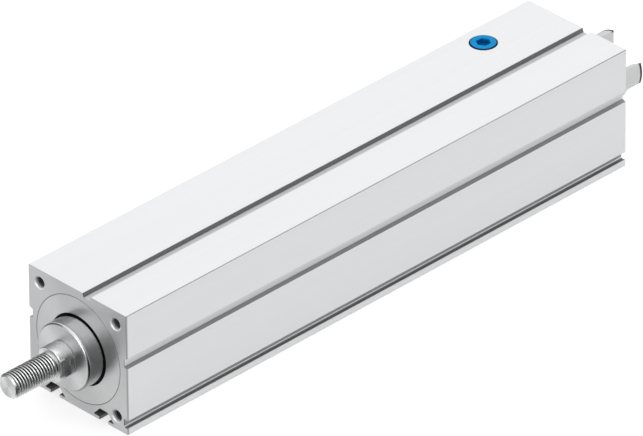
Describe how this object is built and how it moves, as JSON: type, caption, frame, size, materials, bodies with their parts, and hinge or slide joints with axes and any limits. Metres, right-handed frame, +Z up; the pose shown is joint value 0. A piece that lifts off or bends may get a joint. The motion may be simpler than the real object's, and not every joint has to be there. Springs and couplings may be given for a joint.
{
  "type": "electric cylinder",
  "caption": "Ball screw electric cylinder: square extruded housing with T-slots, round piston rod with a threaded end, clawed coupling half on the drive shaft.",
  "frame": {"origin": "centre of the housing's front face, on the rod's axis", "axes": "+X along the rod, out of the front; +Z up, away from the T-slotted underside; +Y to the side nearer the top groove"},
  "size_m": [0.3725, 0.06, 0.0604],
  "materials": {
    "housing": "clear anodised extrusion, fine matt",
    "cap_metal": "clear anodised, turned face",
    "rod_steel": "ground and polished stainless steel",
    "thread_steel": "turned and rolled stainless steel",
    "bearing_steel": "ground bearing steel",
    "rubber": "black elastomer",
    "bush": "sintered bronze with a low-friction lining",
    "hub_metal": "turned aluminium",
    "pad": "dark grey plastic",
    "plug_blue": "blue moulded plastic",
    "slide_plastic": "natural low-friction plastic",
    "magnet": "plastic-bonded magnet",
    "insert": "dark moulded plastic"
  },
  "bodies": {
    "root": {"profile_housing": "housing", "front_cap": "cap_metal", "rod_guide_bush": "bush", "wiper_seal": "rubber", "cap_o_ring": "rubber", "front_snap_ring": "bearing_steel", "rear_snap_ring": "bearing_steel", "front_buffer": "rubber", "rear_buffer": "rubber", "drive_cover": "cap_metal", "bearing_retainer": "thread_steel", "bearing_outer_rings": "bearing_steel", "port_plug": "plug_blue", "port_plug_seal": "rubber"},
    "bearing_cage": {"bearing_balls": "bearing_steel", "bearing_cages": "slide_plastic"},
    "spindle": {"spindle": "bearing_steel", "bearing_inner_rings": "bearing_steel", "bearing_lock_nut": "thread_steel", "coupling_hub": "hub_metal", "claw_pads": "pad", "hub_clamp_screw": "thread_steel", "spindle_support_bush": "slide_plastic", "support_retaining_ring": "bearing_steel"},
    "rod": {"piston_rod": "rod_steel", "rod_end": "thread_steel", "piston": "hub_metal", "ball_nut": "bearing_steel", "nut_return_inserts": "insert", "nut_lock_ring": "thread_steel", "piston_guide_bands": "slide_plastic", "anti_twist_shoes": "slide_plastic", "piston_magnet": "magnet"}
  },
  "joints": [
    {"name": "rod_slide", "type": "slide", "parent": "root", "child": "rod", "axis": [1, 0, 0], "range_m": [0, 0.15]},
    {"name": "spindle_spin", "type": "hinge", "parent": "root", "child": "spindle", "pos_m": [-0.2, 0, 0], "axis": [1, 0, 0], "range_deg": [-4500, 0]},
    {"name": "bearing_cage_spin", "type": "hinge", "parent": "root", "child": "bearing_cage", "pos_m": [-0.284, 0, 0], "axis": [1, 0, 0], "range_deg": [-1755, 0]}
  ],
  "couplings": [
    {"joint": "spindle_spin", "follows": "rod_slide", "rad_per_m": -523.6},
    {"joint": "bearing_cage_spin", "follows": "rod_slide", "rad_per_m": -204.2}
  ]
}
